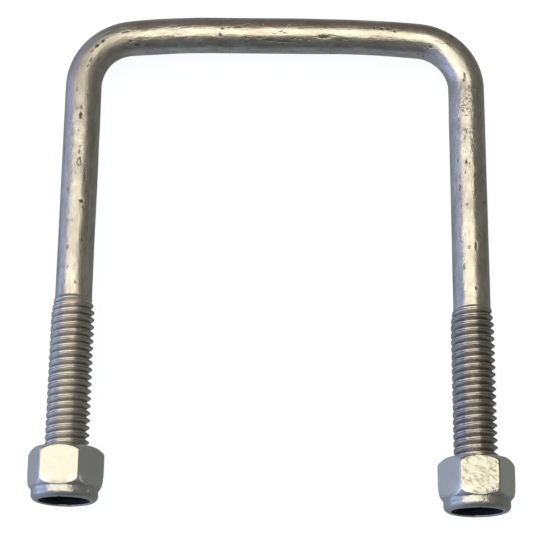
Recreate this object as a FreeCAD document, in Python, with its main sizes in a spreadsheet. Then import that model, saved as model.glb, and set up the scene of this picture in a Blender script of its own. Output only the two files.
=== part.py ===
import FreeCAD, Part
import os
import Sketcher

# A square-bend U-bolt of 3/8 in-16 hardware with a nylon-insert lock nut on each leg. Millimetres.
# It lies flat: X runs across from leg to leg, +Y along the legs towards the crown, +Z up.
# The origin is at the bottom centre of its box. The left nut is rolled a few degrees about its leg,
# so one of its corners is the lowest point, at z = 0.
# Places along a leg are depths: distances from the crown's centreline towards the leg's end.

SIZES = {
    # the bent rod
    "shank_dia": 8.05,
    "leg_spacing": 86.33,
    "corner_radius": 12.0,
    "shoulder_radius": 153.0,
    "crown_flat": 29.1,
    "sweep_depth": 60.0,
    "leg_reach": 105.65,
    # the rolled thread on each leg, which starts a little lower on the right
    "left_thread": 63.1,
    "left_groove": 63.91,
    "right_thread": 64.45,
    "right_groove": 65.9,
    "run_in": 1.0,
    "pitch": 1.5875,
    "crest_dia": 9.4,
    "root_dia": 7.54,
    "tip_chamfer": 0.9,
    # the nuts
    "left_drop": 96.5,
    "right_drop": 97.95,
    "left_roll": 4.8,
    "right_roll": 0.0,
    "across_flats": 14.28,
    "corner_round": 0.35,
    "hex_height": 8.77,
    "nut_height": 10.98,
    "face_dia": 13.8,
    "chamfer_reach": 2.4,
    "chamfer_rise": 2.0,
    "collar_dia": 14.1,
    "crimp_round": 1.2,
    "lip_thickness": 0.45,
    "lip_dia": 10.9,
    "recess_dia": 13.1,
    "recess_round": 0.7,
    "seat_height": 7.95,
    "bore_dia": 8.0,
    "nut_root_dia": 9.9,
    "countersink": 0.75,
    "flank_gap": 0.12,
    # the nylon rings
    "ring_gap": 0.05,
    "ring_bore": 9.7,
}

# The rod's place: the box is centred along Y and the left nut's lowest corner is on z = 0.
CROWN_Y = "(dims.right_drop + dims.nut_height - dims.shank_dia / 2) / 2"
CORNER_CENTRE = "((dims.across_flats / 2 - dims.corner_round) / cos(30 deg))"
AXIS_Z = f"{CORNER_CENTRE} * cos(30 deg - dims.left_roll * 1 deg) + dims.corner_round"
FLANK = "tan(30 deg)"
SIDES = (("left", -1), ("right", 1))
SAME = 1e-4


def make_sheet(doc):
    sheet = doc.addObject("Spreadsheet::Sheet", "dims")
    for row, (name, value) in enumerate(SIZES.items(), start=1):
        sheet.set(f"A{row}", name)
        sheet.set(f"B{row}", str(value))
        sheet.setAlias(f"B{row}", name)
    doc.recompute()


def size(owner, expression):
    """The present value of an expression on the sheet."""
    value = owner.evalExpression(expression)
    return getattr(value, "Value", value)


def make_body(doc, label, places):
    """A body whose Placement follows the sheet. places maps a part of the Placement to its expression."""
    body = doc.addObject("PartDesign::Body", label)
    body.Label = label
    for name, expression in places.items():
        body.setExpression("Placement." + name, expression)
    return body


def make_sketch(body, name, role, offsets=None):
    """A sketch on one of the body's own origin planes, moved by offsets in its own directions."""
    sketch = body.newObject("Sketcher::SketchObject", name)
    plane = next(item for item in body.Origin.OriginFeatures if item.Role == role)
    sketch.AttachmentSupport = [(plane, "")]
    sketch.MapMode = "FlatFace"
    for axis, expression in (offsets or {}).items():
        sketch.setExpression("AttachmentOffset.Base." + axis, expression)
    return sketch


def drive(sketch, name, expression, *constraint):
    """Adds a dimension, as named by constraint, that follows an expression."""
    value = size(sketch, expression)
    index = sketch.addConstraint(Sketcher.Constraint(*constraint, value))
    sketch.renameConstraint(index, name)
    sketch.setExpression("Constraints." + name, expression)


def make_polygon(sketch, corners):
    """A closed outline through corners, each an x and a y expression. A 0 puts the corner on that axis."""
    points = [FreeCAD.Vector(size(sketch, x), size(sketch, y), 0) for x, y in corners]
    for start, end in zip(points, points[1:] + points[:1]):
        sketch.addGeometry(Part.LineSegment(start, end), False)
    for index, (x, y) in enumerate(corners):
        following = (index + 1) % len(corners)
        sketch.addConstraint(Sketcher.Constraint("Coincident", index, 2, following, 1))
        for kind, axis, expression in (("DistanceX", -2, x), ("DistanceY", -1, y)):
            if expression == "0":
                sketch.addConstraint(Sketcher.Constraint("PointOnObject", index, 1, axis))
            else:
                drive(sketch, f"{kind}_{index}", expression, kind, -1, 1, index, 1)


def make_circle(sketch, diameter):
    sketch.addGeometry(Part.Circle(FreeCAD.Vector(0, 0, 0), FreeCAD.Vector(0, 0, 1), 1), False)
    sketch.addConstraint(Sketcher.Constraint("Coincident", 0, 3, -1, 1))
    drive(sketch, "diameter", diameter, "Diameter", 0)


def turn(body, name, kind, sketch):
    """A Revolution or a Groove of a whole turn about the sketch's own vertical axis."""
    feature = body.newObject("PartDesign::" + kind, name)
    feature.Profile = (sketch, [""])
    feature.ReferenceAxis = (sketch, ["V_Axis"])
    feature.Angle = 360
    return feature


def cut_thread(body, name, sketch, height, reverse):
    """A right-hand helical groove about the sketch's own vertical axis."""
    feature = body.newObject("PartDesign::SubtractiveHelix", name)
    feature.Profile = (sketch, [""])
    feature.ReferenceAxis = (sketch, ["V_Axis"])
    feature.Mode = "pitch-height-angle"
    feature.setExpression("Pitch", "dims.pitch")
    feature.setExpression("Height", height)
    feature.LeftHanded = False
    feature.Reversed = reverse
    return feature


def round_edges(body, name, radius, wanted):
    """Fillets the edges of the body's last feature that wanted picks."""
    body.Document.recompute()
    base = body.Tip
    names = [f"Edge{i}" for i, edge in enumerate(base.Shape.Edges, start=1) if wanted(edge)]
    feature = body.newObject("PartDesign::Fillet", name)
    feature.Base = (base, names)
    feature.setExpression("Radius", radius)


def is_upright(edge):
    """True for an edge that runs along the body's Z axis."""
    return isinstance(edge.Curve, Part.Line) and abs(edge.Curve.Direction.z) > 1 - SAME


def is_circle(edge, diameter, height):
    """True for a whole circle of this diameter at this height on the body's Z axis."""
    curve = edge.Curve
    return (
        isinstance(curve, Part.Circle)
        and abs(2 * curve.Radius - diameter) < SAME
        and abs(curve.Center.z - height) < SAME
    )


def add_rod_path(body):
    """The rod's centreline: leg, corner, bowed shoulder, flat crown, shoulder, corner, leg, all tangent."""
    sketch = make_sketch(body, "rod_path", "XY_Plane")
    half = size(sketch, "dims.leg_spacing / 2")
    flat = size(sketch, "dims.crown_flat / 2")
    corner = size(sketch, "dims.corner_radius")
    shoulder = size(sketch, "dims.shoulder_radius")
    leg_end = -size(sketch, "dims.sweep_depth")
    # the shoulder and the corner meet where their circles touch, in line with both centres
    shoulder_centre = FreeCAD.Vector(flat, -shoulder, 0)
    corner_x = half - corner
    drop = ((shoulder - corner) ** 2 - (corner_x - flat) ** 2) ** 0.5
    corner_centre = FreeCAD.Vector(corner_x, drop - shoulder, 0)
    meet = corner_centre + (corner_centre - shoulder_centre).normalize() * corner

    def both_sides(point):
        return FreeCAD.Vector(-point.x, point.y, 0), point

    bend_middle = corner_centre + FreeCAD.Vector(corner, corner, 0) * 0.5**0.5
    shoulder_middle = shoulder_centre + (
        (meet + FreeCAD.Vector(flat, 0, 0)) / 2 - shoulder_centre
    ).normalize() * shoulder
    feet = both_sides(FreeCAD.Vector(half, leg_end, 0))
    knees = both_sides(FreeCAD.Vector(half, corner_centre.y, 0))
    bends = both_sides(bend_middle)
    meets = both_sides(meet)
    bows = both_sides(shoulder_middle)
    flats = both_sides(FreeCAD.Vector(flat, 0, 0))
    pieces = [
        Part.LineSegment(feet[0], knees[0]),
        Part.Arc(knees[0], bends[0], meets[0]),
        Part.Arc(meets[0], bows[0], flats[0]),
        Part.LineSegment(flats[0], flats[1]),
        Part.Arc(flats[1], bows[1], meets[1]),
        Part.Arc(meets[1], bends[1], knees[1]),
        Part.LineSegment(knees[1], feet[1]),
    ]
    for piece in pieces:
        sketch.addGeometry(piece, False)
    # an arc's own ends run anticlockwise, against the way the path runs
    ends = [(1, 2), (2, 1), (2, 1), (1, 2), (2, 1), (2, 1), (1, 2)]
    for index in range(len(pieces) - 1):
        joint = (index, ends[index][1], index + 1, ends[index + 1][0])
        sketch.addConstraint(Sketcher.Constraint("Tangent", *joint))
    sketch.addConstraint(Sketcher.Constraint("Vertical", 0))
    sketch.addConstraint(Sketcher.Constraint("Vertical", 6))
    sketch.addConstraint(Sketcher.Constraint("PointOnObject", 3, 1, -1))
    sketch.addConstraint(Sketcher.Constraint("Symmetric", 3, 1, 3, 2, -2))
    sketch.addConstraint(Sketcher.Constraint("Equal", 1, 5))
    sketch.addConstraint(Sketcher.Constraint("Equal", 2, 4))
    sketch.addConstraint(Sketcher.Constraint("Symmetric", 0, 1, 6, 2, -2))
    drive(sketch, "crown_flat", "dims.crown_flat", "DistanceX", 3, 1, 3, 2)
    drive(sketch, "corner_radius", "dims.corner_radius", "Radius", 5)
    drive(sketch, "shoulder_radius", "dims.shoulder_radius", "Radius", 4)
    drive(sketch, "half_spacing", "dims.leg_spacing / 2", "DistanceX", -1, 1, 6, 2)
    drive(sketch, "leg_foot", "-dims.sweep_depth", "DistanceY", -1, 1, 6, 2)
    return sketch


def add_leg_thread(body, side, sign):
    """A leg's lower end: a turned blank with a run-in and a chamfered tip, and its helical groove."""
    offset = {"x": f"{sign} * dims.leg_spacing / 2"}
    blank = make_sketch(body, f"{side}_thread_blank", "XY_Plane", offset)
    corners = [
        ("0", "-dims.sweep_depth"),
        ("dims.shank_dia / 2", "-dims.sweep_depth"),
        ("dims.shank_dia / 2", f"-dims.{side}_thread"),
        ("dims.crest_dia / 2", f"-(dims.{side}_thread + dims.run_in)"),
        ("dims.crest_dia / 2", "-(dims.leg_reach - dims.tip_chamfer)"),
        ("dims.crest_dia / 2 - dims.tip_chamfer", "-dims.leg_reach"),
        ("0", "-dims.leg_reach"),
    ]
    make_polygon(blank, corners)
    turn(body, f"{side}_threaded_end", "Revolution", blank)
    groove = make_sketch(body, f"{side}_groove", "XY_Plane", offset)
    past_crest = "(dims.crest_dia / 2 + 0.1)"
    wide = f"(dims.pitch * 7 / 16 + 0.1 * {FLANK})"
    narrow = f"(dims.pitch * 7 / 16 - (dims.crest_dia - dims.root_dia) / 2 * {FLANK})"
    middle = f"-dims.{side}_groove"
    corners = [
        ("dims.root_dia / 2", f"{middle} - {narrow}"),
        (past_crest, f"{middle} - {wide}"),
        (past_crest, f"{middle} + {wide}"),
        ("dims.root_dia / 2", f"{middle} + {narrow}"),
    ]
    make_polygon(groove, corners)
    height = f"dims.leg_reach - dims.{side}_groove + dims.pitch"
    cut_thread(body, f"{side}_thread", groove, height, True)


def make_rod(doc):
    """The U-bolt itself: one bent bar with a thread on each leg."""
    places = {"Base.y": CROWN_Y, "Base.z": AXIS_Z}
    body = make_body(doc, "u_bolt", places)
    path = add_rod_path(body)
    offset = {"x": "dims.leg_spacing / 2", "z": "dims.sweep_depth"}
    section = make_sketch(body, "rod_section", "XZ_Plane", offset)
    make_circle(section, "dims.shank_dia")
    pipe = body.newObject("PartDesign::AdditivePipe", "bent_rod")
    pipe.Profile = section
    pipe.Spine = path
    for side, sign in SIDES:
        add_leg_thread(body, side, sign)


def nut_place(side, sign):
    """A nut's frame has its Z axis down the leg, from z = 0 at the bearing face."""
    return {
        "Base.x": f"{sign} * dims.leg_spacing / 2",
        "Base.y": f"{CROWN_Y} - dims.{side}_drop",
        "Base.z": AXIS_Z,
        "Rotation.Axis.x": "1",
        "Rotation.Axis.y": "0",
        "Rotation.Axis.z": "0",
        "Rotation.Angle": "90",
    }


def add_hexagon(body, side):
    """The hexagon, with two flats square to the sketch's Y axis, which is turned by the nut's roll."""
    sketch = make_sketch(body, "hexagon", "XY_Plane")
    sketch.setExpression("AttachmentOffset.Rotation.Angle", f"dims.{side}_roll * 1 deg")
    flat = "dims.across_flats / 2"
    point = "dims.across_flats / sqrt(3)"
    half_side = "dims.across_flats / sqrt(3) / 2"
    corners = [
        (point, "0"),
        (half_side, flat),
        (f"-{half_side}", flat),
        (f"-{point}", "0"),
        (f"-{half_side}", f"-{flat}"),
        (half_side, f"-{flat}"),
    ]
    make_polygon(sketch, corners)
    pad = body.newObject("PartDesign::Pad", "hexagon_pad")
    pad.Profile = sketch
    pad.setExpression("Length", "dims.hex_height")
    round_edges(body, "hexagon_corners", "dims.corner_round", is_upright)


def add_hexagon_chamfers(body):
    """The cones that cut the hexagon's corners back at both of its ends."""
    ends = (
        ("bearing", "0", "dims.chamfer_rise"),
        ("collar", "dims.hex_height", "dims.hex_height - dims.chamfer_rise"),
    )
    for end, level, risen in ends:
        sketch = make_sketch(body, f"{end}_chamfer", "XZ_Plane")
        outside = "dims.face_dia / 2 + dims.chamfer_reach"
        corners = [("dims.face_dia / 2", level), (outside, level), (outside, risen)]
        make_polygon(sketch, corners)
        turn(body, f"{end}_cone", "Groove", sketch)


def add_collar(body):
    """The round collar that is crimped over the nylon ring."""
    sketch = make_sketch(body, "collar", "XY_Plane")
    make_circle(sketch, "dims.collar_dia")
    pad = body.newObject("PartDesign::Pad", "collar_pad")
    pad.Profile = sketch
    pad.setExpression("Length", "dims.nut_height")
    top, wide = size(sketch, "dims.nut_height"), size(sketch, "dims.collar_dia")
    round_edges(body, "crimp", "dims.crimp_round", lambda edge: is_circle(edge, wide, top))


def add_nut_bore(body):
    """The countersunk bore, the ring's recess above it and the lip's opening."""
    sketch = make_sketch(body, "inside", "XZ_Plane")
    lip = "dims.nut_height - dims.lip_thickness"
    corners = [
        ("0", "0"),
        ("dims.bore_dia / 2 + dims.countersink", "0"),
        ("dims.bore_dia / 2", "dims.countersink"),
        ("dims.bore_dia / 2", "dims.seat_height"),
        ("dims.recess_dia / 2", "dims.seat_height"),
        ("dims.recess_dia / 2", lip),
        ("dims.lip_dia / 2", lip),
        ("dims.lip_dia / 2", "dims.nut_height"),
        ("0", "dims.nut_height"),
    ]
    make_polygon(sketch, corners)
    turn(body, "bore_and_recess", "Groove", sketch)
    level, wide = size(sketch, lip), size(sketch, "dims.recess_dia")
    round_edges(body, "recess_corner", "dims.recess_round", lambda edge: is_circle(edge, wide, level))


def add_nut_thread(body, side):
    """The nut's own groove, in step with the crest of its leg's thread and clear of it by flank_gap."""
    sketch = make_sketch(body, "groove", "XZ_Plane")
    half_crest = "(dims.pitch / 16 + dims.flank_gap / cos(30 deg))"
    inside = "(dims.bore_dia / 2 - 0.1)"
    narrow = f"({half_crest} - (dims.nut_root_dia - dims.crest_dia) / 2 * {FLANK})"
    wide = f"({half_crest} + (dims.crest_dia / 2 - {inside}) * {FLANK})"
    crest = f"dims.{side}_groove + dims.pitch / 2 - dims.{side}_drop"
    middle = f"mod({crest}; dims.pitch) - 2 * dims.pitch"
    corners = [
        ("dims.nut_root_dia / 2", f"{middle} - {narrow}"),
        (inside, f"{middle} - {wide}"),
        (inside, f"{middle} + {wide}"),
        ("dims.nut_root_dia / 2", f"{middle} + {narrow}"),
    ]
    make_polygon(sketch, corners)
    cut_thread(body, "thread", sketch, "dims.seat_height + 3.5 * dims.pitch", False)


def make_nut(doc, side, sign):
    """A nylon-insert lock nut: a chamfered hexagon with a crimped collar."""
    body = make_body(doc, f"nut_{side}", nut_place(side, sign))
    add_hexagon(body, side)
    add_hexagon_chamfers(body)
    add_collar(body)
    add_nut_bore(body)
    add_nut_thread(body, side)


def make_ring(doc, side, sign):
    """The nylon ring in the nut's recess, with a plain bore that clears the thread."""
    body = make_body(doc, f"nylon_insert_{side}", nut_place(side, sign))
    sketch = make_sketch(body, "ring_section", "XZ_Plane")
    outside = "dims.recess_dia / 2 - dims.ring_gap"
    bottom = "dims.seat_height + dims.ring_gap"
    top = "dims.nut_height - dims.lip_thickness - dims.ring_gap"
    corners = [
        ("dims.ring_bore / 2", bottom),
        (outside, bottom),
        (outside, top),
        ("dims.ring_bore / 2", top),
    ]
    make_polygon(sketch, corners)
    turn(body, "ring", "Revolution", sketch)
    level, wide = size(sketch, top), 2 * size(sketch, outside)
    round_edges(body, "ring_shoulder", "dims.recess_round", lambda edge: is_circle(edge, wide, level))


def check_model(doc):
    """Stops if any object failed, any sub-part isn't one valid solid, or a cutting feature cut nothing."""
    for item in doc.Objects:
        if "Invalid" in item.State or "Error" in item.State:
            raise RuntimeError(f"{item.Label} failed: {item.State}")
    for body in doc.findObjects("PartDesign::Body"):
        shape = body.Shape
        if shape.isNull() or not shape.isValid() or len(shape.Solids) != 1:
            raise RuntimeError(f"{body.Label} isn't one valid solid")
        for item in body.Group:
            if item.TypeId == "Sketcher::SketchObject" and not item.FullyConstrained:
                raise RuntimeError(f"{item.Label} isn't fully constrained")
            cuts = item.isDerivedFrom("PartDesign::Groove") or item.TypeId.endswith("SubtractiveHelix")
            if cuts and item.Shape.Volume > item.BaseFeature.Shape.Volume - 1:
                raise RuntimeError(f"{body.Label}'s {item.Label} cuts nothing")
        box = shape.optimalBoundingBox(False)
        print(
            f"{body.Label}: x {box.XMin:.2f} to {box.XMax:.2f},"
            f" y {box.YMin:.2f} to {box.YMax:.2f}, z {box.ZMin:.2f} to {box.ZMax:.2f}"
        )


def main():
    doc = FreeCAD.newDocument("u_bolt_with_lock_nuts")
    make_sheet(doc)
    make_rod(doc)
    for side, sign in SIDES:
        make_nut(doc, side, sign)
        make_ring(doc, side, sign)
    doc.recompute()
    check_model(doc)
    os.makedirs("parts", exist_ok=True)
    for body in doc.findObjects("PartDesign::Body"):
        body.Shape.exportStep(f"parts/{body.Label}.step")


main()
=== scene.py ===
import math

import bmesh
import bpy
import numpy as np
from mathutils import Matrix, Vector


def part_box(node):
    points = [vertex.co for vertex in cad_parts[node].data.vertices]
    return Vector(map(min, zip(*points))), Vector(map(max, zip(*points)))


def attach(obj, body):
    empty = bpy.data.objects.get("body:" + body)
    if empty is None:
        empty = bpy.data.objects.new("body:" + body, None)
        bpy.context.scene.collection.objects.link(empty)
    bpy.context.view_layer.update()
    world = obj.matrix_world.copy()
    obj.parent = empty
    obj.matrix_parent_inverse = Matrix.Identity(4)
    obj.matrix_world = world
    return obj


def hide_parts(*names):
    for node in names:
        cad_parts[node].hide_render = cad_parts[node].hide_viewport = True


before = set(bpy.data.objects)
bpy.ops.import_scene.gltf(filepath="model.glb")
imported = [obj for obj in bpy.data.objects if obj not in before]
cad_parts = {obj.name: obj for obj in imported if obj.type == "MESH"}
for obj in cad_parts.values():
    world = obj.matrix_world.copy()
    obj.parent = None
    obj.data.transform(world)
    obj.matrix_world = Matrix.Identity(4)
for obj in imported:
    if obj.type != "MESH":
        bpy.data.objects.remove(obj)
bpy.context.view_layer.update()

# A square-bend U-bolt with a nylon-insert lock nut on each leg. The object's sizes are in millimetres,
# and its meshes are scaled to metres as they are built. The studio and the heights of bumps are in metres.
# The bar is one skin that follows the bent centreline, with its threads as spiral rows of that skin.
# A place on it is s, the run along the centreline from the left leg's tip, and an angle round it, which
# is 0 on the outer side of the bend and a quarter turn on top.

MM = 0.001
TURN = 2 * math.pi
FLANK = math.pi / 6
SEED = 20
SIDES = {"left": -1, "right": 1}

# the bar, whose depths are measured down the legs from the crown's centreline
ROD_LOW, ROD_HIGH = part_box("u_bolt")
SHANK_R = 4.025
CROWN_Y = ROD_HIGH.y / MM - SHANK_R
AXIS_Z = (ROD_LOW.z + ROD_HIGH.z) / 2 / MM
REACH = CROWN_Y - ROD_LOW.y / MM
CREST_R = (ROD_HIGH.z - ROD_LOW.z) / 2 / MM
HALF_SPACING = ROD_HIGH.x / MM - CREST_R
CORNER_R = 12.0
SHOULDER_R = 153.0
CROWN_FLAT = 29.1

# its threads, which are a little off centre, deeper on the right side of each leg
PITCH = 1.5875
ROOT_R = 3.93
ROOT_LEAN = 0.13
TIP_CHAMFER = 0.9
THREAD_TOP = {"left": 63.1, "right": 64.45}
GROOVE_DEPTH = {"left": 63.91, "right": 65.9}  # a groove's middle, on the right side of the leg
RAGGED = 0.05  # how much the crests vary in height
EDGE_WEAR = 0.02  # how far the thread's corners are worn, in pitches

# the lock nuts, whose levels are measured down from the bearing face
ROLL = {"left": 4.8, "right": 0.0}
FLAT_R = 7.14
CORNER_ROUND = 0.65
CORNER_RISE = 1.03  # how much further out the corners are than the flats
HEX_HEIGHT = 8.77
NUT_HEIGHT = 10.98
FACE_R = 6.9
FACE_EDGE_OUT, FACE_EDGE_DOWN = 0.06, 0.085
CONE_SLOPE = 2.0 / 2.4
DRAW_IN = 0.22  # how far the corners are drawn in towards the collar
DRAW_TOP, DRAW_RUN = 4.8, 2.7
COLLAR_R = 7.05
COLLAR_BEND = 9.2
CRIMP_R = 1.2
LIP_FACE_R = 5.98
LIP_R = 5.45
LIP_THICKNESS = 0.45
NOTCH_DEPTH, NOTCH_HALF_ANGLE = 0.45, 2.2
RECESS_R = 6.55
RECESS_ROUND = 0.65
SEAT = 7.95
BORE_R = 4.0
NUT_ROOT_R = 4.95
COUNTERSINK = 0.75
FLANK_GAP = 0.12  # between the nut's thread and the bar's
RING_GAP = 0.05
RING_BORE_R = 4.8
BATTERED = {"left": 0.06, "right": 1.0}  # how marked the uppermost flat is

# how the skins are divided
BAR_COLUMNS = 60
RING_COLUMNS = 96
PLAIN_ROWS = 400
FLAT_ROWS = 12
LAP = 0.3  # from a spiral's first or last row to the ring beside it
OVERRUN = 0.2  # from an end to the nearest place where a spiral may stop
END_FALL = 0.8  # how slowly the bar's radius closes over a flat tip
# rows across a pitch, closest together at the crest's and the root's corners
BAR_ROWS = PITCH * np.array(
    [0, 0.06, 0.11, 0.17, 0.25, 0.33, 0.39, 0.43, 0.47, 0.5, 0.53, 0.57, 0.61, 0.67, 0.75, 0.83, 0.89, 0.94]
)
BORE_ROWS = PITCH * np.array([0, 0.1, 0.2, 0.3, 0.38, 0.44, 0.5, 0.56, 0.62, 0.7, 0.8, 0.9])


# ---------------------------------------------------------------- skins

class Skin:
    """A closed skin made of rings and spiral rows of points, added one after another."""

    def __init__(self, angles):
        self.angles = np.asarray(angles)
        self.points = []
        self.along = []
        self.faces = []
        self.count = 0
        self.open_edge = None

    def add(self, along, place):
        along = np.broadcast_to(along, self.angles.shape)
        self.points.append(place(along, self.angles))
        self.along.append(along)
        first = self.count
        self.count += len(self.angles)
        return np.arange(first, self.count)

    def join(self, low, high):
        """Quads between two rows that both go once round."""
        for a, b, c, d in zip(low, np.roll(low, -1), np.roll(high, -1), high):
            self.faces.append((a, b, c, d))

    def join_open(self, low, high):
        """Quads between two rows whose ends stay apart."""
        for j in range(len(low) - 1):
            self.faces.append((low[j], low[j + 1], high[j + 1], high[j]))

    def ring(self, along, place):
        """A row at one place along the skin, joined to what was added before it."""
        row = self.add(along, place)
        if isinstance(self.open_edge, np.ndarray):
            self.join(self.open_edge, row)
        elif self.open_edge:
            self.close_spiral(row)
        self.open_edge = row
        return row

    def spiral(self, first, offsets, turns, place):
        """Rows that climb a pitch as they go once round, so each row's end meets a later row's start."""
        n, below = len(offsets), self.open_edge
        count = turns * n + 1
        climb = PITCH * (self.angles - self.angles[0]) / TURN
        rows = [self.add(first + PITCH * (i // n) + offsets[i % n] + climb, place) for i in range(count)]
        for i in range(count - 1):
            self.join_open(rows[i], rows[i + 1])
            if i + n + 1 < count:
                self.faces.append((rows[i][-1], rows[i + n][0], rows[i + n + 1][0], rows[i + 1][-1]))
        self.join_open(below, rows[0])
        self.fan(rows[0][-1], [below[-1], below[0]] + [rows[k][0] for k in range(n + 1)])
        self.open_edge = (rows, n)

    def close_spiral(self, above):
        rows, n = self.open_edge
        last = rows[-1]
        self.join_open(last, above)
        self.fan(last[0], [above[0], above[-1]] + [rows[-1 - k][-1] for k in range(n + 1)])

    def fan(self, centre, around):
        for a, b in zip(around, around[1:]):
            self.faces.append((centre, a, b))

    def cap(self, row, point):
        """Closes an end with one point in the middle of a row."""
        self.points.append(np.array([point]))
        self.along.append(np.zeros(1))
        self.fan(self.count, list(row) + [row[0]])
        self.count += 1

    def build(self, name, attributes=None):
        """Makes the mesh, with an attribute of one number or one vector a point for each that is given."""
        mesh = bpy.data.meshes.new(name)
        points = np.concatenate(self.points) * MM
        mesh.from_pydata(points.tolist(), [], [tuple(int(i) for i in face) for face in self.faces])
        for key, values in (attributes or {}).items():
            vector = np.ndim(values) == 2
            data = mesh.attributes.new(key, "FLOAT_VECTOR" if vector else "FLOAT", "POINT")
            data.data.foreach_set("vector" if vector else "value", np.ravel(values).astype(np.float32))
        work = bmesh.new()
        work.from_mesh(mesh)
        bmesh.ops.recalc_face_normals(work, faces=work.faces)
        work.to_mesh(mesh)
        work.free()
        mesh.shade_smooth()
        return add_to_scene(name, mesh)


def add_to_scene(name, data):
    item = bpy.data.objects.new(name, data)
    bpy.context.scene.collection.objects.link(item)
    return item


def smooth_steps(value, places, levels):
    """Runs through levels at places, with eased steps between them."""
    value = np.clip(value, places[0], places[-1])
    index = np.clip(np.searchsorted(places, value, side="right") - 1, 0, len(places) - 2)
    places, levels = np.asarray(places), np.asarray(levels)
    part = (value - places[index]) / (places[index + 1] - places[index])
    part = part * part * (3 - 2 * part)
    return levels[index] + (levels[index + 1] - levels[index]) * part


# ---------------------------------------------------------------- the bent bar

def bar_runs():
    """The centreline's runs from the left tip to the right one, each a length and a curvature."""
    lean = math.asin((HALF_SPACING - CORNER_R - CROWN_FLAT / 2) / (SHOULDER_R - CORNER_R))
    drop = (SHOULDER_R - CORNER_R) * math.cos(lean)
    knee_depth = SHOULDER_R - drop
    corner = (CORNER_R * (math.pi / 2 - lean), 1 / CORNER_R)
    shoulder = (SHOULDER_R * lean, 1 / SHOULDER_R)
    leg = (REACH - knee_depth, 0.0)
    return [leg, corner, shoulder, (CROWN_FLAT, 0.0), shoulder, corner, leg]


RUNS = bar_runs()
BAR_LENGTH = sum(length for length, _ in RUNS)
# where a groove's middle crosses the outer side of each leg
GROOVE_AT = {
    "left": REACH - GROOVE_DEPTH["left"] - PITCH / 2,
    "right": BAR_LENGTH - REACH + GROOVE_DEPTH["right"],
}


def centreline(s):
    """Points and headings of the centreline at distances s from the left tip."""
    x, y = np.zeros_like(s), np.zeros_like(s)
    heading = np.zeros_like(s)
    at = np.array([-HALF_SPACING, CROWN_Y - REACH])
    begin, angle = 0.0, math.pi / 2
    for length, curve in RUNS:
        inside = (s >= begin) & (s <= begin + length)
        run = s[inside] - begin
        if curve:
            centre = at + np.array([math.sin(angle), -math.cos(angle)]) / curve
            turned = angle - run * curve
            x[inside] = centre[0] - np.sin(turned) / curve
            y[inside] = centre[1] + np.cos(turned) / curve
            end = angle - length * curve
            at = centre + np.array([-math.sin(end), math.cos(end)]) / curve
            angle = end
            heading[inside] = turned
        else:
            way = np.array([math.cos(angle), math.sin(angle)])
            x[inside] = at[0] + way[0] * run
            y[inside] = at[1] + way[1] * run
            heading[inside] = angle
            at = at + way * length
        begin += length
    return x, y, heading


def groove_profile(places, levels, steps=800):
    """The thread's height across one pitch, from 0 in the root to 1 on the crest, with its corners worn."""
    across = np.arange(steps) / steps - 0.5
    level = np.interp(across, places, levels)
    reach = np.fft.fftfreq(steps)
    kernel = np.exp(-0.5 * (reach / EDGE_WEAR) ** 2)
    worn = np.real(np.fft.ifft(np.fft.fft(level) * np.fft.fft(kernel / kernel.sum())))
    worn = (worn - worn.min()) / (worn.max() - worn.min())
    return across, worn


# heights at places across the pitch, where negative places are on the tip's side of the groove
WORN_THREAD = groove_profile(
    [-0.5, -0.41, -0.33, -0.28, -0.19, -0.035, 0.035, 0.15, 0.24, 0.31, 0.38, 0.44, 0.5],
    [0.90, 0.965, 1.0, 0.96, 0.70, 0.0, 0.0, 0.55, 0.85, 0.945, 0.965, 0.92, 0.90],
)
SHARP_THREAD = groove_profile([-0.5, -0.45, -0.05, 0.05, 0.45, 0.5], [1.0, 1.0, 0.0, 0.0, 1.0, 1.0])
# where the line of painted shade lies in the crest's hollow, and how wide it is, in pitches
CREST_SHADE_AT, CREST_SHADE_WIDTH = 0.46, 0.07

# waves in the bar's surface: times round it, rate along it, phase, weight
WAVE_COUNT = 26
RANDOM = np.random.default_rng(SEED)
WAVES = [
    (RANDOM.integers(0, 5), RANDOM.uniform(0.05, 0.75), RANDOM.uniform(0, TURN), RANDOM.uniform(0.3, 1.0))
    for _ in range(WAVE_COUNT)
]
WAVES_SUM = 4.5  # about the most that they add up to
WAVE_HEIGHT = 0.016


def lumps(s, angle):
    """A gentle unevenness over the bar, about -1 to 1."""
    total = np.zeros_like(s)
    for around, rate, phase, weight in WAVES:
        total += weight * np.sin(around * angle + rate * s + phase)
    return total / WAVES_SUM


# dents: run along the bar, degrees round it, half length, half width, depth
DENTS = [
    (153.6, 115, 1.9, 0.6, 0.09), (143.5, 131, 4.5, 0.5, 0.04), (166.9, 80, 2.4, 0.6, 0.03),
    (84.0, 92, 1.2, 0.6, 0.04), (103.0, 86, 1.2, 0.6, 0.04), (108.8, 88, 1.4, 0.5, 0.03),
    (111.2, 136, 1.0, 0.6, 0.04), (191.0, 100, 1.6, 0.6, 0.04), (178.9, 122, 0.9, 0.6, 0.04),
    (211.8, 102, 1.0, 0.6, 0.03), (217.4, 125, 1.8, 0.5, 0.03), (73.0, 93, 1.4, 0.7, 0.03),
    (63.8, 106, 0.9, 0.7, 0.04), (231.2, 80, 1.1, 0.6, 0.04),
]

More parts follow.
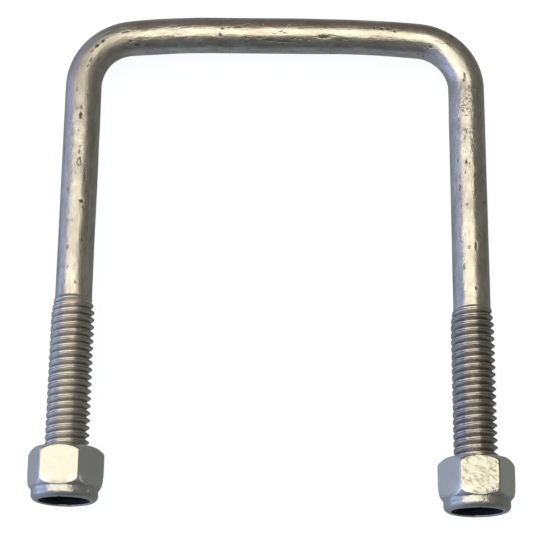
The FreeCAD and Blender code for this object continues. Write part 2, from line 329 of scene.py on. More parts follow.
# small dark marks: run along the bar, degrees round it, half length, half width, strength
MARKS = [
    (45.2, 100, 0.4, 0.3, 0.6), (48.6, 72, 0.3, 0.3, 0.5), (53.2, 68, 0.45, 0.35, 0.7),
    (59.4, 64, 0.4, 0.25, 0.4), (55.0, 116, 0.6, 0.3, 0.7), (62.4, 115, 0.4, 0.4, 0.5),
    (63.8, 107, 0.45, 0.45, 1.0), (66.7, 59, 0.6, 0.25, 0.5), (69.3, 114, 1.4, 0.2, 0.6),
    (72.2, 93, 0.3, 0.4, 0.5), (73.0, 98, 0.9, 0.16, 0.8), (73.1, 88, 0.8, 0.14, 0.6),
    (73.8, 95, 0.3, 0.35, 0.8), (75.3, 92, 0.6, 0.22, 0.7), (76.6, 94, 0.4, 0.2, 0.5),
    (80.5, 88, 0.5, 0.18, 0.4), (84.0, 92, 0.8, 0.4, 1.0), (86.0, 93, 0.5, 0.2, 0.6),
    (88.9, 113, 0.5, 0.4, 0.5), (90.3, 75, 0.5, 0.3, 0.4), (98.0, 101, 0.6, 0.2, 0.7),
    (100.0, 86, 0.5, 0.3, 0.6), (101.6, 87, 0.5, 0.33, 1.0), (103.3, 87, 0.45, 0.33, 1.0),
    (99.2, 122, 0.8, 0.25, 0.5), (105.2, 72, 1.3, 0.2, 0.7), (108.8, 89, 1.0, 0.22, 0.8),
    (109.9, 122, 0.9, 0.22, 0.8), (111.3, 137, 0.6, 0.35, 1.0), (113.6, 139, 0.4, 0.3, 0.5),
    (117.0, 82, 1.0, 0.15, 0.5), (119.5, 82, 1.1, 0.15, 0.5), (124.8, 84, 1.1, 0.15, 0.5),
    (130.8, 91, 0.4, 0.28, 0.9), (130.3, 115, 0.35, 0.5, 0.9), (132.2, 88, 0.4, 0.2, 0.6),
    (134.2, 86, 1.2, 0.2, 0.9), (136.1, 122, 0.45, 0.33, 0.8), (139.2, 122, 0.6, 0.3, 0.8),
    (141.5, 129, 1.7, 0.3, 0.8), (145.0, 133, 2.2, 0.25, 0.8), (148.3, 138, 1.3, 0.25, 0.7),
    (145.0, 76, 0.5, 0.25, 0.4), (153.6, 117, 1.4, 0.42, 1.0), (155.4, 113, 0.9, 0.22, 0.7),
    (158.6, 125, 0.8, 0.2, 0.5), (165.0, 80, 0.33, 0.35, 1.0), (166.8, 84, 0.36, 0.3, 1.0),
    (168.2, 82, 0.33, 0.35, 1.0), (169.7, 90, 0.36, 0.3, 0.9), (177.9, 55, 0.6, 0.4, 0.5),
    (181.5, 50, 0.5, 0.5, 0.7), (184.0, 45, 0.7, 0.4, 0.5), (178.9, 123, 0.55, 0.33, 1.0),
    (190.8, 98, 0.7, 0.25, 0.9), (192.0, 102, 0.5, 0.22, 0.9), (196.5, 95, 0.3, 0.3, 0.6),
    (198.0, 103, 0.3, 0.3, 0.6), (199.0, 92, 0.25, 0.35, 0.6), (199.3, 108, 0.3, 0.25, 0.6),
    (200.5, 98, 0.25, 0.35, 0.6), (197.3, 87, 0.4, 0.18, 0.6), (201.5, 124, 0.6, 0.2, 0.6),
    (202.6, 43, 0.7, 0.25, 0.6), (204.6, 86, 0.25, 0.4, 0.5), (207.6, 79, 0.4, 0.18, 0.7),
    (208.7, 81, 0.6, 0.15, 0.6), (211.8, 102, 0.55, 0.28, 1.0), (211.0, 130, 0.5, 0.3, 0.5),
    (215.3, 125, 1.0, 0.16, 0.6), (217.6, 126, 0.9, 0.25, 0.9), (221.8, 122, 1.1, 0.16, 0.6),
    (221.6, 102, 0.35, 0.35, 0.5), (228.6, 64, 0.5, 0.25, 0.6), (231.3, 78, 0.9, 0.3, 0.9),
    (231.4, 100, 0.4, 0.3, 0.5), (236.0, 118, 0.6, 0.3, 0.6), (240.8, 80, 0.4, 0.4, 0.8),
]

# where bending has drawn the bar in, or filled it out: run along the bar, side (1 is the outer one),
# half length, loss in radius
BENDS = [
    (104.5, -1, 6.5, 0.36), (178.5, -1, 5.0, 0.15), (164.0, 1, 10.0, 0.27), (236.0, 1, 14.0, -0.09),
    (50.0, -1, 14.0, 0.09),
]

# where the coating is flaky: run along the bar, half length, strength
FLAKES = [(126, 6, 0.6), (198, 4, 1.0), (206, 3, 0.5)]


def dents(s, angle):
    """How deep the dents are at each point."""
    depth = np.zeros_like(s)
    for run, degrees, length, width, deep in DENTS:
        across = ((np.degrees(angle) - degrees + 180) % 360 - 180) * math.pi / 180 * SHANK_R
        depth += deep * np.exp(-(((s - run) / length) ** 2) - (across / width) ** 2)
    return depth


def thinned(s, angle):
    """How much radius the bar has lost to bending at each point."""
    return sum(
        deep * np.exp(-(((s - run) / length) ** 2)) * np.maximum(0, side * np.cos(angle)) ** 1.5
        for run, side, length, deep in BENDS
    )


def patch(s, run, length):
    """1 round a run along the bar, falling off steeply at a half length from it."""
    return np.exp(-(((s - run) / length) ** 4))


def leg_depth(s):
    """Depth below the crown's centreline, on the leg that s is on."""
    return REACH - np.minimum(s, BAR_LENGTH - s)


def by_leg(s, values):
    """The left leg's or the right leg's value at each s."""
    return np.where(s < BAR_LENGTH / 2, values["left"], values["right"])


def turns_below_top(s):
    """How many turns of thread lie between s and the thread's upper end."""
    return (leg_depth(s) - by_leg(s, THREAD_TOP)) / PITCH


def around_groove(turns):
    """Where a place lies within the pitch, from -0.5 to 0.5, with 0 in the middle of the groove."""
    return (turns + 0.5) % 1.0 - 0.5


def tipward_phase(s, angle):
    """Where a place lies within the pitch, negative on the tip's side of the groove on both legs."""
    turns = (s - by_leg(s, GROOVE_AT)) / PITCH - angle / TURN
    return around_groove(turns) * by_leg(s, {"left": 1.0, "right": -1.0})


def toward_right(s, angle):
    """How far the bar's surface faces the right, from -1 to 1."""
    return np.cos(angle) * by_leg(s, {"left": -1.0, "right": 1.0})


def thread_level(s, angle):
    """The thread's height, 0 in the root and 1 on the crest. It is worn round except on its right side."""
    phase = tipward_phase(s, angle)
    worn = np.interp(phase, *WORN_THREAD, period=1.0)
    sharp = np.interp(phase, *SHARP_THREAD, period=1.0)
    return worn + (sharp - worn) * smooth_steps(toward_right(s, angle), [0.35, 0.95], [0.0, 1.0])


def crest_shade_line(s, angle):
    """A line of painted shade that runs round the thread in the hollow near the middle of its crest, 0 to
    1.
    """
    away = around_groove(tipward_phase(s, angle) - CREST_SHADE_AT)
    return np.exp(-((away / CREST_SHADE_WIDTH) ** 2))


def bar_radius(s, angle):
    """The bar's radius, with its threads, their fading upper ends, the tips' chamfers and the wear."""
    turns = turns_below_top(s)
    rise = smooth_steps(turns, [0.0, 0.5, 1.3, 2.1, 2.8], [0.0, 0.38, 0.62, 0.93, 1.0])
    sink = smooth_steps(turns, [0.35, 1.3], [0.0, 1.0])
    ragged = RAGGED * (1 + np.sin(3.7 * s + 2 * angle) * np.sin(1.3 * s - 3 * angle)) / 2
    crest = SHANK_R + (CREST_R - ragged - SHANK_R) * rise
    root = SHANK_R + (ROOT_R - ROOT_LEAN * toward_right(s, angle) - SHANK_R) * sink
    radius = root + (crest - root) * thread_level(s, angle)
    plain = 1 - rise
    radius = radius + plain * (WAVE_HEIGHT * lumps(s, angle) - dents(s, angle) - thinned(s, angle))
    radius = np.minimum(radius, SHANK_R + (CREST_R - SHANK_R) * np.maximum(rise, 0.02))
    tip = CREST_R - TIP_CHAMFER + np.maximum(0, REACH - leg_depth(s))
    return np.minimum(radius, tip)


def place_on_bar(along, angle):
    """A point on the bar. Beyond either end, along runs in over the tip's flat face."""
    s = np.clip(along, 0, BAR_LENGTH)
    over = np.abs(along - s)
    radius = bar_radius(s, angle) * np.exp(-over / END_FALL)
    x, y, heading = centreline(s)
    out = radius * np.cos(angle)
    return np.stack(
        [x - np.sin(heading) * out, y + np.cos(heading) * out, AXIS_Z + radius * np.sin(angle)], axis=1
    )


def bar_attributes(s, angle):
    """What the bar's material reads at each point."""
    threaded = smooth_steps(turns_below_top(s), [0.0, 1.0], [0.0, 1.0])
    return {
        "unbent": np.stack([s, SHANK_R * np.cos(angle), SHANK_R * np.sin(angle)], axis=1),
        "threaded": threaded,
        "groove": threaded * (1 - thread_level(s, angle)),
        "crest_shade": threaded * crest_shade_line(s, angle),
        "dull": patch(s, 99, 11) + smooth_steps(s, [84, 94], [0.35, 0.0]),
        "soiled": threaded * by_leg(s, {"left": 0.20, "right": 0.72}),
        "flaky": sum(strength * patch(s, run, length) for run, length, strength in FLAKES),
    }


def make_bar():
    # each spiral starts and ends a whole number of pitches from a groove, past the thread's ends
    left, right = GROOVE_AT["left"], GROOVE_AT["right"]
    left_start = left - PITCH * math.ceil((left + PITCH + OVERRUN) / PITCH)
    left_turns = math.ceil((REACH - THREAD_TOP["left"] + LAP - left_start) / PITCH) + 1
    left_end = left_start + left_turns * PITCH
    thread_start = BAR_LENGTH - REACH + THREAD_TOP["right"]
    right_start = right - PITCH * math.ceil((right - thread_start + LAP + PITCH) / PITCH)
    right_turns = math.ceil((BAR_LENGTH + OVERRUN - right_start) / PITCH)
    right_end = right_start + right_turns * PITCH

    skin = Skin(np.arange(BAR_COLUMNS) * TURN / BAR_COLUMNS)
    first = skin.ring(left_start - LAP, place_on_bar)
    skin.spiral(left_start, BAR_ROWS, left_turns, place_on_bar)
    for along in np.linspace(left_end + PITCH + LAP, right_start - LAP, PLAIN_ROWS):
        skin.ring(along, place_on_bar)
    skin.spiral(right_start, BAR_ROWS, right_turns, place_on_bar)
    last = skin.ring(right_end + PITCH + LAP, place_on_bar)
    skin.cap(first, (-HALF_SPACING, CROWN_Y - REACH, AXIS_Z))
    skin.cap(last, (HALF_SPACING, CROWN_Y - REACH, AXIS_Z))

    caps = [0, 0]
    angle = np.concatenate([np.tile(skin.angles, (skin.count - len(caps)) // BAR_COLUMNS), caps])
    s = np.clip(np.concatenate(skin.along), 0, BAR_LENGTH)
    return skin.build("bar", bar_attributes(s, angle))


# ---------------------------------------------------------------- lock nuts

class NutPlace:
    """Where a nut sits on its leg. Angles round it start at its +X side."""

    def __init__(self, side):
        self.axis_x = SIDES[side] * HALF_SPACING
        self.face_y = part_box(f"nut_{side}")[1].y / MM

    def at(self, radius, level, angle):
        """Points at a radius from the leg's axis and a level below the bearing face."""
        radius = np.broadcast_to(radius, angle.shape)
        level = np.broadcast_to(level, angle.shape)
        return np.stack(
            [self.axis_x + radius * np.cos(angle), self.face_y - level, AXIS_Z + radius * np.sin(angle)],
            axis=1,
        )

    def add_rings(self, skin, section):
        """Adds a ring for each radius and level of a section, and returns them."""
        return [
            skin.ring(0.0, lambda _, angle: self.at(radius, level, angle)) for radius, level in section
        ]


def nut_columns(roll):
    """Angles round the nut, close together at the hexagon's corners."""
    half = [0, 3, 6, 12, 17, 21, 24.5, 27, 28.0, 28.6, 29.3]
    sector = sorted({a for v in half for a in (v, -v)} | {30})
    angles = sorted((30 + 60 * k + a + roll) % 360 for k in range(6) for a in sector)
    return np.radians(angles)


def hexagon_reach(angle, roll):
    """How far out the hexagon's side is in each direction, round its worn corners."""
    off = (np.degrees(angle) - roll) % 60 - 30
    off = np.radians(np.abs(off))
    flat = FLAT_R / np.cos(off)
    centre = (FLAT_R - CORNER_ROUND) / math.cos(FLANK)
    slant = FLANK - off
    corner = centre * np.cos(slant) + np.sqrt(
        np.maximum(CORNER_ROUND**2 - (centre * np.sin(slant)) ** 2, 0)
    )
    edge = math.atan((FLAT_R - CORNER_ROUND) * math.tan(FLANK) / FLAT_R)
    return np.where(off > edge, corner, flat)


def add_bore(skin, side, place):
    """The threaded bore, from the ring's seat up to the bearing face. Returns its first ring."""
    groove_level = GROOVE_DEPTH[side] - (CROWN_Y - place.face_y)
    half_crest = PITCH / 16 + FLANK_GAP / math.cos(FLANK)
    widest = half_crest + (CREST_R - BORE_R) * math.tan(FLANK)

    def in_bore(along, angle):
        level = np.clip(SEAT - along, 0, SEAT)
        phase = around_groove((level - groove_level) / PITCH - angle / TURN)
        from_groove = (0.5 - np.abs(phase)) * PITCH
        tooth = BORE_R + np.clip((widest - from_groove) / math.tan(FLANK), 0, NUT_ROOT_R - BORE_R)
        radius = np.maximum(tooth, BORE_R + COUNTERSINK - level)
        # past the bearing face and the seat, the surface turns outwards
        radius = radius + np.maximum(0, -along) * 0.45 + np.maximum(0, along - SEAT) * 0.12
        return place.at(radius, level, angle)

    base = SEAT - groove_level
    first = base - PITCH * math.ceil((base + PITCH + OVERRUN) / PITCH)
    turns = math.ceil((SEAT + OVERRUN - first) / PITCH)
    start = skin.ring(first - LAP, in_bore)
    skin.spiral(first, BORE_ROWS, turns, in_bore)
    return start


def hexagon_section(reach):
    """Radii and levels from the bearing face over both cones and the flats to the collar."""
    face_edge = FACE_R + FACE_EDGE_OUT
    cornered = np.clip((reach - FLAT_R) / CORNER_RISE, 0, 1)
    edge = np.minimum(0.12 + 0.22 * cornered**2, 0.4 * (reach - face_edge))
    upper = (reach - FACE_R) * CONE_SLOPE
    rows = [
        (5.45, 0.0), (6.2, 0.0), (FACE_R - 0.12, 0.0), (FACE_R - 0.02, 0.025), (face_edge, FACE_EDGE_DOWN),
        (
            face_edge + (reach - edge - face_edge) * 0.5,
            FACE_EDGE_DOWN + (upper - CONE_SLOPE * edge - FACE_EDGE_DOWN) * 0.5,
        ),
        (reach - edge, upper - CONE_SLOPE * edge),
        (reach - 0.3 * edge, upper - 0.05 * edge),
        (reach, upper + edge),
    ]
    # down the flats, whose corners draw in a little towards the collar
    lower = HEX_HEIGHT - upper
    for part in np.linspace(0.08, 0.92, FLAT_ROWS):
        level = upper + edge + (lower - upper - 2 * edge) * part
        drawn = DRAW_IN * cornered * np.clip((level - DRAW_TOP) / DRAW_RUN, 0, 1) ** 2
        rows.append((reach - drawn, level))
    side = reach - DRAW_IN * cornered
    cone_start = lower + CONE_SLOPE * edge
    cone_end = HEX_HEIGHT - (COLLAR_R - FACE_R) * CONE_SLOPE
    rows += [
        (side, lower - edge),
        (side - 0.3 * edge, lower + 0.1 * edge),
        (side - edge, cone_start),
        ((side - edge + COLLAR_R) / 2, (cone_start + cone_end) / 2),
        (COLLAR_R + 0.05, cone_end - 0.03),
        (COLLAR_R, cone_end + 0.06),
    ]
    return rows


def collar_section(notch):
    """Radii and levels down the collar, over its crimped lip and back up the recess to the seat."""
    rows = [(COLLAR_R, COLLAR_BEND)]
    for degrees in (0, 12, 25, 38, 50, 62, 73, 82):
        out, down = CRIMP_R * math.cos(math.radians(degrees)), CRIMP_R * math.sin(math.radians(degrees))
        nicked = notch * np.clip((degrees - 50) / 32, 0, 1)
        rows.append((COLLAR_R - CRIMP_R + out + nicked, NUT_HEIGHT - CRIMP_R + down))
    lip = LIP_R + notch
    inside = NUT_HEIGHT - LIP_THICKNESS
    rows += [
        (LIP_FACE_R + notch, NUT_HEIGHT),
        (lip + 0.22, NUT_HEIGHT - 0.015),
        (lip + 0.06, NUT_HEIGHT - 0.07),
        (lip, NUT_HEIGHT - 0.17),
        (lip, inside + 0.06),
        (lip + 0.06, inside),
        (RECESS_R - RECESS_ROUND, inside),
        (RECESS_R - 0.2, inside - 0.2),
        (RECESS_R, inside - RECESS_ROUND),
        (RECESS_R, SEAT + 0.9),
        (RECESS_R, SEAT),
    ]
    return rows


def make_nut(side):
    place, roll = NutPlace(side), ROLL[side]
    angles = nut_columns(roll)
    reach = hexagon_reach(angles, roll)
    # the lip is notched on top and underneath
    from_notch = (np.degrees(angles) - roll - 90) % 180
    from_notch = np.minimum(from_notch, 180 - from_notch)
    notch = NOTCH_DEPTH * np.exp(-((from_notch / NOTCH_HALF_ANGLE) ** 2))

    skin = Skin(angles)
    start = add_bore(skin, side, place)
    rings = place.add_rings(skin, hexagon_section(reach) + collar_section(notch))
    skin.join(rings[-1], start)

    points = np.concatenate(skin.points)
    x, y, z = points[:, 0] - place.axis_x, points[:, 1], points[:, 2] - AXIS_Z
    up = (-math.sin(math.radians(roll)), math.cos(math.radians(roll)))
    height = x * up[0] + z * up[1]
    # the flat that lies uppermost, and the surface from the lower cone down
    topmost = np.clip((height - FLAT_R + 0.12) / 0.08, 0, 1) * (np.hypot(x, z) > 6.5)
    rolled = np.clip((place.face_y - HEX_HEIGHT + 0.9 - y) / 0.5, 0, 1)
    attributes = {"battered": topmost * BATTERED[side], "topmost": topmost, "rolled": rolled}
    return skin.build(f"lock_nut_{side}", attributes)


def make_nylon(side):
    """The nylon ring, worn smooth at both ends of its bore."""
    outer, bore = RECESS_R - RING_GAP, RING_BORE_R
    bottom, top = SEAT + RING_GAP, NUT_HEIGHT - LIP_THICKNESS - RING_GAP
    section = [
        (bore, bottom + 0.2), (bore + 0.06, bottom + 0.06), (bore + 0.2, bottom), (outer - 0.2, bottom),
        (outer - 0.06, bottom + 0.06), (outer, bottom + 0.2), (outer, top - 0.75),
        (outer - 0.08, top - 0.42), (outer - 0.28, top - 0.16), (outer - 0.62, top), (5.3, top),
        (5.05, top - 0.05), (bore + 0.08, top - 0.22), (bore, top - 0.5),
        (bore + 0.012, (bottom + top) / 2),
    ]
    skin = Skin(np.arange(RING_COLUMNS) * TURN / RING_COLUMNS)
    rings = NutPlace(side).add_rings(skin, section)
    skin.join(rings[-1], rings[0])
    return skin.build(f"nylon_ring_{side}")


# ---------------------------------------------------------------- node trees

class Nodes:
    """Short calls for building a node tree. A value may be a number, a colour or another node's output."""

    def __init__(self, owner, shader="Principled BSDF"):
        owner.use_nodes = True
        self.owner = owner
        self.tree = owner.node_tree
        self.shader = self.tree.nodes[shader]

    def new(self, kind, **settings):
        node = self.tree.nodes.new(kind)
        for key, value in settings.items():
            setattr(node, key, value)
        return node

    def put(self, socket, value):
        if isinstance(value, bpy.types.NodeSocket):
            self.tree.links.new(value, socket)
        else:
            socket.default_value = value

    def attribute(self, name, output="Fac"):
        return self.new("ShaderNodeAttribute", attribute_name=name).outputs[output]

    def place_in_mm(self):
        place = self.new("ShaderNodeTexCoord").outputs["Object"]
        return self.vector("MULTIPLY", place, (1 / MM, 1 / MM, 1 / MM))

    def vector(self, operation, *values, output="Vector"):
        node = self.new("ShaderNodeVectorMath", operation=operation)
        for socket, value in zip(node.inputs, values):
            self.put(socket, value)
        return node.outputs[output]

    def lit(self, colour, amount):
        """A colour times an amount."""
        node = self.new("ShaderNodeVectorMath", operation="SCALE")
        self.put(node.inputs[0], colour)
        self.put(node.inputs["Scale"], amount)
        return node.outputs["Vector"]

    def noise(self, vector, scale, detail=3.0, rough=0.55, distortion=0.0, output="Fac"):
        node = self.new("ShaderNodeTexNoise")
        self.put(node.inputs["Vector"], vector)
        node.inputs["Scale"].default_value = scale
        node.inputs["Detail"].default_value = detail
        node.inputs["Roughness"].default_value = rough
        node.inputs["Distortion"].default_value = distortion
        return node.outputs[output]

    def ramp(self, value, low, high, to_low=0.0, to_high=1.0, easing="SMOOTHSTEP"):
        node = self.new("ShaderNodeMapRange", interpolation_type=easing)
        ends = {"Value": value, "From Min": low, "From Max": high, "To Min": to_low, "To Max": to_high}
        for key, item in ends.items():
            self.put(node.inputs[key], item)
        return node.outputs["Result"]

    def math(self, operation, a, b):
        node = self.new("ShaderNodeMath", operation=operation)
        self.put(node.inputs[0], a)
        self.put(node.inputs[1], b)
        return node.outputs[0]

    def times(self, a, b):
        return self.math("MULTIPLY", a, b)

    def mix(self, amount, a, b):
        node = self.new("ShaderNodeMix", data_type="RGBA")
        self.put(node.inputs["Factor"], amount)
        for socket, colour in ((node.inputs[6], a), (node.inputs[7], b)):
            self.put(socket, colour if isinstance(colour, bpy.types.NodeSocket) else (*colour, 1.0))
        return node.outputs[2]

    def over(self, colour, amount, share, tint):
        """Lays a share of a tint over a colour, where there is any amount of it."""
        return self.mix(self.times(amount, share), colour, tint)

    def bump(self, height, distance, after=None):
        node = self.new("ShaderNodeBump")
        self.put(node.inputs["Height"], height)
        node.inputs["Distance"].default_value = distance
        node.inputs["Strength"].default_value = 1.0
        if after:
            self.put(node.inputs["Normal"], after)
        return node.outputs["Normal"]

    def set(self, **values):
        """Sets the shader's inputs, and returns the material or world that the tree belongs to."""
        names = {
            "colour": "Base Color", "metal": "Metallic", "rough": "Roughness", "normal": "Normal",
            "specular": "Specular IOR Level", "glow": "Emission Color", "power": "Emission Strength",
            "light": "Color",
        }
        for key, value in values.items():
            self.put(self.shader.inputs[names[key]], value)
        return self.owner


# ---------------------------------------------------------------- materials

FRESH_ZINC = ((0.80, 0.76, 0.74), (0.745, 0.765, 0.71))
MOTTLED_ZINC = (0.50, 0.485, 0.46)
SPECKLED_ZINC = (0.42, 0.40, 0.37)
DRAWN_ZINC = (0.44, 0.43, 0.41)
DULL_ZINC = (0.40, 0.38, 0.33)
THREAD_ZINC = (0.82, 0.80, 0.77)
SOIL = (0.22, 0.21, 0.21)
# painted shade for the thread's roots and for the hollows of its crests
THREAD_SHADE = (0.09, 0.08, 0.07)
PIT = (0.085, 0.075, 0.055)
PLATING = ((0.88, 0.89, 0.88), (0.76, 0.78, 0.78))
# a darker plating colour for the uppermost flat, painted shade that tones down the overhead panel's
# highlight on it
SHADED_TOP_PLATING = (0.58, 0.60, 0.585)
FOLD = (0.27, 0.24, 0.16)
CRIMPED_PLATING = (0.37, 0.42, 0.43)
NYLON = ((0.003, 0.005, 0.016), (0.006, 0.010, 0.030))


def dark_marks(n, at):
    """How dark the listed marks are at each place on the bar, with ragged outlines."""
    wander = n.noise(at, 1.9, 2.0, 0.5, output="Color")
    reach = (1.1, 0.5, 0.5)
    shifted = n.vector("MULTIPLY_ADD", wander, reach, at)
    # each mark is finished before the next, since a long chain made out of order doesn't render
    total = 0.0
    for run, degrees, length, width, strength in MARKS:
        angle = math.radians(degrees)
        centre = (run, SHANK_R * math.cos(angle), SHANK_R * math.sin(angle))
        stretch = (1 / length, 1 / width, 1 / width)
        offset = [-(c + r / 2) * k for c, r, k in zip(centre, reach, stretch)]
        apart = n.vector("MULTIPLY_ADD", shifted, stretch, offset)
        size = n.vector("LENGTH", apart, output="Value")
        total = n.math("MAXIMUM", total, n.ramp(size, 0.62, 1.4, strength, 0.0))
    return total


def galvanised():
    n = Nodes(bpy.data.materials.new("galvanised_bar"))
    at = n.attribute("unbent", "Vector")
    streaked = n.vector("MULTIPLY", at, (0.4, 1.0, 1.0))
    drawn = n.vector("MULTIPLY", at, (0.16, 1.0, 1.0))
    threaded, groove, dull = n.attribute("threaded"), n.attribute("groove"), n.attribute("dull")
    turned = n.noise(n.vector("MULTIPLY", at, (2.4, 0.25, 0.25)), 1.0, 3.0, 0.6)
    crest_shading = n.times(n.attribute("crest_shade"), n.ramp(n.noise(at, 0.9, 2.0), 0.35, 0.6, 0.45, 1.0))
    soiled = n.times(n.attribute("soiled"), n.ramp(n.noise(at, 0.6, 3.0), 0.3, 0.65, 0.65, 1.25))
    plain = n.math("SUBTRACT", 1.0, threaded)
    mottle = n.ramp(n.noise(streaked, 0.30, 5.0, 0.62), 0.40, 0.66)
    speckle = n.ramp(n.noise(streaked, 1.6, 3.0), 0.42, 0.68)
    streaks = n.ramp(n.noise(drawn, 1.9, 3.0, 0.6), 0.42, 0.62)
    clusters = n.ramp(n.noise(at, 0.085, 2.0), 0.38, 0.58)
    pits = n.ramp(n.noise(streaked, 1.15, 2.0, 0.5, 0.4), 0.65, 0.71)
    pits = n.times(n.times(pits, clusters), 0.7)
    spots = n.times(n.math("MAXIMUM", pits, dark_marks(n, at)), plain)

    colour = n.mix(n.ramp(n.noise(streaked, 0.45, 2.0), 0.35, 0.65), *FRESH_ZINC)
    colour = n.over(colour, mottle, 0.65, MOTTLED_ZINC)
    colour = n.over(colour, speckle, 0.34, SPECKLED_ZINC)
    colour = n.over(colour, n.times(streaks, plain), 0.34, DRAWN_ZINC)
    colour = n.over(colour, dull, 0.30, DULL_ZINC)
    colour = n.over(colour, threaded, 0.75, THREAD_ZINC)
    colour = n.over(colour, soiled, 0.55, SOIL)
    # painted shade: the thread's roots are darkened, more the deeper into the groove
    colour = n.over(colour, n.ramp(groove, 0.62, 0.97), 0.75, THREAD_SHADE)
    # painted shade: a dark line along each crest's hollow, between its two highlights, broken up by noise
    colour = n.over(colour, crest_shading, 0.85, THREAD_SHADE)
    colour = n.over(colour, spots, 0.85, PIT)

    rough = n.ramp(n.noise(streaked, 0.5, 3.0), 0.3, 0.7, 0.22, 0.33)
    for amount, share in ((spots, 0.25), (dull, 0.16), (groove, 0.12)):
        rough = n.math("ADD", rough, n.times(amount, share))

    peened = n.ramp(n.noise(at, 0.11, 2.0), 0.48, 0.62)
    peened = n.times(n.math("MAXIMUM", peened, n.attribute("flaky")), plain)
    lines = n.bump(n.times(n.noise(drawn, 0.75, 3.0, 0.6), plain), 0.00009)
    wide = n.bump(n.times(n.noise(at, 0.42, 2.0), plain), 0.00003, lines)
    hammer = n.bump(n.times(n.noise(streaked, 1.1, 2.0, 0.6), peened), 0.00008, wide)
    scaly = n.bump(n.times(n.noise(streaked, 1.7, 3.0, 0.6), n.attribute("flaky")), 0.00012, hammer)
    machined = n.bump(n.times(turned, threaded), 0.00006, scaly)
    pitted = n.bump(n.math("SUBTRACT", 1.0, spots), 0.00005, machined)
    return n.set(colour=colour, metal=1.0, rough=rough, normal=pitted)


def plated():
    n = Nodes(bpy.data.materials.new("plated_nut"))
    at = n.place_in_mm()
    battered, topmost, rolled = n.attribute("battered"), n.attribute("topmost"), n.attribute("rolled")
    cloudy = n.ramp(n.noise(at, 0.30, 3.0, 0.5), 0.35, 0.7)
    slanted = n.new("ShaderNodeVectorRotate", rotation_type="Z_AXIS")
    n.put(slanted.inputs["Vector"], at)
    n.put(slanted.inputs["Angle"], math.radians(35))
    strokes = n.noise(n.vector("MULTIPLY", slanted.outputs[0], (0.45, 1.0, 1.0)), 1.6, 2.5, 0.55, 0.4)
    grouped = n.ramp(n.noise(at, 0.38, 2.0), 0.30, 0.55, 0.45, 1.0)
    folds = n.times(n.times(n.ramp(strokes, 0.49, 0.63), grouped), battered)

    colour = n.mix(n.times(cloudy, 0.35), *PLATING)
    # painted shade: the uppermost flat gets the darker plating colour, which dims its highlight under the
    # overhead panel
    colour = n.mix(topmost, colour, SHADED_TOP_PLATING)
    colour = n.over(colour, folds, 0.75, FOLD)
    colour = n.over(colour, rolled, 0.55, CRIMPED_PLATING)
    rough = n.ramp(n.noise(at, 0.8, 3.0), 0.3, 0.7, 0.20, 0.25)
    rough = n.math("ADD", rough, n.times(rolled, 0.10))

    soft = n.bump(n.noise(at, 0.22, 2.0), 0.00001)
    crimped = n.bump(n.times(n.noise(at, 0.55, 2.0), rolled), 0.0002, soft)
    struck = n.bump(n.times(n.math("SUBTRACT", 1.0, strokes), battered), 0.00012, crimped)
    dented = n.bump(n.times(n.noise(at, 0.5, 2.0), battered), 0.00006, struck)
    return n.set(colour=colour, metal=1.0, rough=rough, normal=dented)


def nylon():
    n = Nodes(bpy.data.materials.new("nylon"))
    at = n.place_in_mm()
    tint = n.mix(n.noise(at, 0.8, 2.0), *NYLON)
    rough = n.ramp(n.noise(at, 1.5, 2.0), 0.3, 0.7, 0.42, 0.52)
    grain = n.bump(n.noise(at, 4.0, 2.0), 0.000004)
    return n.set(colour=tint, metal=0.0, rough=rough, specular=0.2, normal=grain)


# ---------------------------------------------------------------- studio

LENS, SENSOR = 113.5, 36.0
CLIP = (0.01, 10.0)
CAMERA_PLACE = (1.52, CROWN_Y - 173.5, AXIS_Z + 359.6)  # millimetres
CAMERA_TURN = (-18.04, -0.08, -0.54)  # degrees, as one turn about the axis that these give
PANEL_PLACE = (-0.43, 0.085, 0.9)
PANEL_SIZE = (1.66, 0.80)
PANEL_COLOUR = (1.0, 0.92, 0.72)
PANEL_POWER = 6.4
STAGE_R = 2.5
FLOOR_DROP = 0.0002

# the room's light from each side: axis, sign, colour
ROOM = [
    (0, -1.0, (0.49, 0.55, 0.83)), (0, 1.0, (0.154, 0.149, 0.139)), (1, 1.0, (0.17, 0.135, 0.11)),
    (1, -1.0, (0.105, 0.115, 0.118)), (2, 1.0, (0.22, 0.19, 0.15)), (2, -1.0, (0.19, 0.19, 0.195)),
]
GROUND_LEFT, GROUND_RIGHT = (0.32, 0.35, 0.42), (0.19, 0.20, 0.175)
WINDOW_WAY = (-0.985, -0.06, -0.02)
WINDOW_COLOUR = (0.24, 0.42, 0.68)


def make_camera():
    data = bpy.data.cameras.new("camera")
    data.lens, data.sensor_width = LENS, SENSOR
    data.clip_start, data.clip_end = CLIP
    camera = add_to_scene("camera", data)
    spin = Vector([math.radians(v) for v in CAMERA_TURN])
    look = Matrix.Rotation(spin.length, 3, spin.normalized()).transposed().to_4x4()
    camera.matrix_world = Matrix.Translation(Vector(CAMERA_PLACE) * MM) @ look
    bpy.context.scene.camera = camera


def make_panel():
    """A soft warm panel that hangs level overhead and shines straight down."""
    data = bpy.data.lights.new("overhead_panel", "AREA")
    data.shape = "RECTANGLE"
    data.size, data.size_y = PANEL_SIZE
    data.color, data.energy = PANEL_COLOUR, PANEL_POWER
    panel = add_to_scene("overhead_panel", data)
    panel.location = PANEL_PLACE
    panel.visible_camera = False


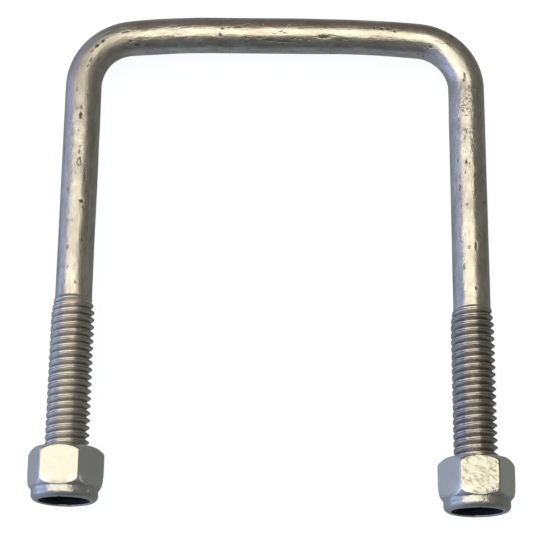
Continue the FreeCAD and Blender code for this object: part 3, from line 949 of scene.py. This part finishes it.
def make_world():
    """A dim room round the lit panel: lavender on the left with a blue window, grey on the right."""
    world = bpy.data.worlds.new("room")
    bpy.context.scene.world = world
    n = Nodes(world, "Background")
    way = n.new("ShaderNodeTexCoord").outputs["Generated"]
    split = n.new("ShaderNodeSeparateXYZ")
    n.put(split.inputs[0], way)
    total = None
    for axis, sign, colour in ROOM:
        facing = n.math("MAXIMUM", n.times(split.outputs[axis], sign), 0.0)
        light = n.lit(colour, n.math("POWER", facing, 2.0))
        total = n.vector("ADD", total, light) if total else light
    # below the horizon the room turns to a grey floor, lighter on the left
    below = n.ramp(split.outputs[2], -0.12, -0.42)
    across = n.ramp(split.outputs[0], -0.85, 0.6, easing="LINEAR")
    room = n.mix(below, total, n.mix(across, GROUND_LEFT, GROUND_RIGHT))
    # a blue window low on the left
    toward = n.vector("DOT_PRODUCT", way, Vector(WINDOW_WAY).normalized(), output="Value")
    window = n.lit(WINDOW_COLOUR, n.ramp(toward, 0.935, 0.99))
    n.set(light=n.vector("ADD", room, window))


def add_stage_piece(name, shape, unseen_by, **look):
    """A round piece of the stage, seen by the camera but not by what unseen_by lists."""
    mesh = bpy.data.meshes.new(name)
    work = bmesh.new()
    shape(work)
    work.to_mesh(mesh)
    work.free()
    n = Nodes(bpy.data.materials.new(f"pale_{name}"))
    mesh.materials.append(n.set(rough=1.0, specular=0.0, **look))
    piece = add_to_scene(name, mesh)
    for kind in unseen_by:
        setattr(piece, f"visible_{kind}", False)
    return piece


def make_floor():
    floor = add_stage_piece(
        "floor",
        lambda work: bmesh.ops.create_circle(work, cap_ends=True, segments=96, radius=STAGE_R),
        ("glossy", "diffuse", "shadow"),
        colour=(0.16, 0.165, 0.17, 1.0), glow=(0.98, 0.985, 1.0, 1.0), power=0.95,
    )
    floor.location.z = -FLOOR_DROP


def make_backdrop():
    dome = add_stage_piece(
        "backdrop",
        lambda work: bmesh.ops.create_icosphere(work, subdivisions=4, radius=STAGE_R),
        ("glossy", "diffuse", "shadow", "transmission"),
        colour=(0.0, 0.0, 0.0, 1.0), glow=(0.93, 0.94, 0.95, 1.0), power=0.9,
    )


def main():
    bar_finish, nut_finish, nylon_finish = galvanised(), plated(), nylon()
    bar = make_bar()
    bar.data.materials.append(bar_finish)
    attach(bar, "u_bolt")
    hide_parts("u_bolt")
    for side in SIDES:
        nut = make_nut(side)
        nut.data.materials.append(nut_finish)
        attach(nut, f"nut_{side}")
        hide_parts(f"nut_{side}")
        ring = make_nylon(side)
        ring.data.materials.append(nylon_finish)
        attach(ring, f"nut_{side}")
        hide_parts(f"nylon_insert_{side}")
    make_camera()
    make_world()
    make_panel()
    make_floor()
    make_backdrop()
    bpy.context.scene.view_settings.view_transform = "Standard"


main()
